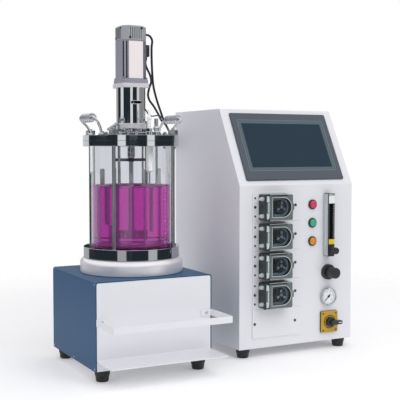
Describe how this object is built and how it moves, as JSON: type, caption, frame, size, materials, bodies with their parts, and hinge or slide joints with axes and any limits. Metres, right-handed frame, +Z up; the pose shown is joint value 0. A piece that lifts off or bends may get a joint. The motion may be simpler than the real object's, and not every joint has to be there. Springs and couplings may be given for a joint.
{
  "type": "bench bioreactor",
  "caption": "Stirred glass vessel on a heated stand with a top drive, and its control cabinet with a sloping display, peristaltic pumps, gas flowmeter and switches.",
  "frame": {"origin": "on the bench, at the middle of the rigid pieces' footprint", "axes": "+Z up, +X to the right along the front faces, +Y to the back"},
  "size_m": [0.678, 0.5635, 0.751],
  "materials": {
    "blue_enamel": "textured powder coat",
    "white_enamel": "satin powder coat",
    "grey_enamel": "satin powder coat",
    "polished_steel": "mirror polished stainless steel",
    "satin_aluminium": "fine turned satin",
    "motor_grey": "die-cast, semi-gloss paint",
    "clear_glass": "clear borosilicate",
    "ptfe": "matt white",
    "white_plastic": "translucent white",
    "black_plastic": "moulded, fine grain",
    "bezel_plastic": "moulded grey",
    "clear_plastic": "clear acrylic",
    "black_rubber": "matt",
    "yellow_plastic": "moulded yellow",
    "red_lens": "diffusing lens",
    "green_lens": "diffusing lens",
    "amber_lens": "diffusing lens"
  },
  "bodies": {
    "root": {"stand_cover": "blue_enamel", "stand_front_panel": "white_enamel", "stand_chassis": "white_enamel", "bottle_rail": "white_enamel", "heater_block": "satin_aluminium", "vessel_seat": "polished_steel", "glass_vessel": "clear_glass", "neck_ring": "polished_steel", "lid_plate": "polished_steel", "lid_handle_right": "polished_steel", "lid_handle_left": "polished_steel", "bearing_housing": "polished_steel", "motor_body": "motor_grey", "motor_rear_cap": "motor_grey", "motor_connector": "black_plastic", "shaft_seal": "polished_steel", "sparger": "polished_steel", "baffle_cage": "polished_steel", "foam_probe": "ptfe", "ph_probe": "black_plastic", "temperature_probe": "polished_steel", "sample_tube": "polished_steel", "cabinet_shell": "white_enamel", "cabinet_back": "grey_enamel", "display": "bezel_plastic", "pump_panel": "white_enamel", "pump_body_1": "black_plastic", "pump_body_2": "black_plastic", "pump_body_3": "black_plastic", "pump_body_4": "black_plastic", "pump_tube_1": "white_plastic", "pump_tube_2": "white_plastic", "pump_tube_3": "white_plastic", "pump_tube_4": "white_plastic", "pump_cover_1": "clear_plastic", "pump_cover_2": "clear_plastic", "pump_cover_3": "clear_plastic", "pump_cover_4": "clear_plastic", "lamp_red": "red_lens", "lamp_green": "green_lens", "lamp_amber": "amber_lens", "flowmeter_body": "clear_plastic", "regulator_body": "black_plastic", "gauge_case": "satin_aluminium", "switch_plate": "yellow_plastic", "motor_encoder_cable": "black_rubber", "motor_power_cable": "black_rubber", "probe_lead": "black_rubber"},
    "stirrer": {"stirrer_shaft": "polished_steel", "impeller": "polished_steel", "foam_breaker": "polished_steel"},
    "pump_rotor_1": {"pump_rotor_1": "grey_enamel"},
    "pump_rotor_2": {"pump_rotor_2": "grey_enamel"},
    "pump_rotor_3": {"pump_rotor_3": "grey_enamel"},
    "pump_rotor_4": {"pump_rotor_4": "grey_enamel"},
    "flowmeter_float": {"flowmeter_float": "polished_steel"},
    "flowmeter_knob": {"flowmeter_knob": "black_plastic"},
    "regulator_knob": {"regulator_knob": "black_plastic"},
    "gauge_needle": {"gauge_needle": "black_plastic"},
    "switch_handle": {"switch_handle": "black_plastic"}
  },
  "joints": [
    {"name": "stirrer_spin", "type": "hinge", "parent": "root", "child": "stirrer", "pos_m": [-0.2015, -0.013, 0.4], "axis": [0, 0, 1], "continuous": true},
    {"name": "pump_1_spin", "type": "hinge", "parent": "root", "child": "pump_rotor_1", "pos_m": [0.12, -0.118, 0.3488], "axis": [0, -1, 0], "continuous": true},
    {"name": "pump_2_spin", "type": "hinge", "parent": "root", "child": "pump_rotor_2", "pos_m": [0.12, -0.118, 0.2814], "axis": [0, -1, 0], "continuous": true},
    {"name": "pump_3_spin", "type": "hinge", "parent": "root", "child": "pump_rotor_3", "pos_m": [0.12, -0.118, 0.214], "axis": [0, -1, 0], "continuous": true},
    {"name": "pump_4_spin", "type": "hinge", "parent": "root", "child": "pump_rotor_4", "pos_m": [0.12, -0.118, 0.1466], "axis": [0, -1, 0], "continuous": true},
    {"name": "flow_valve_turn", "type": "hinge", "parent": "root", "child": "flowmeter_knob", "pos_m": [0.265, -0.13, 0.242], "axis": [0, -1, 0], "range_deg": [0, 1440]},
    {"name": "flow_float_rise", "type": "slide", "parent": "root", "child": "flowmeter_float", "axis": [0, 0, 1], "range_m": [0, 0.102]},
    {"name": "regulator_turn", "type": "hinge", "parent": "root", "child": "regulator_knob", "pos_m": [0.269, -0.13, 0.188], "axis": [0, -1, 0], "range_deg": [0, 1080]},
    {"name": "gauge_needle_turn", "type": "hinge", "parent": "root", "child": "gauge_needle", "pos_m": [0.269, -0.11, 0.129], "axis": [0, -1, 0], "range_deg": [-270, 0], "stiffness_Nm_per_rad": 0.0002},
    {"name": "main_switch_turn", "type": "hinge", "parent": "root", "child": "switch_handle", "pos_m": [0.272, -0.12, 0.0675], "axis": [0, -1, 0], "range_deg": [0, 90]}
  ]
}
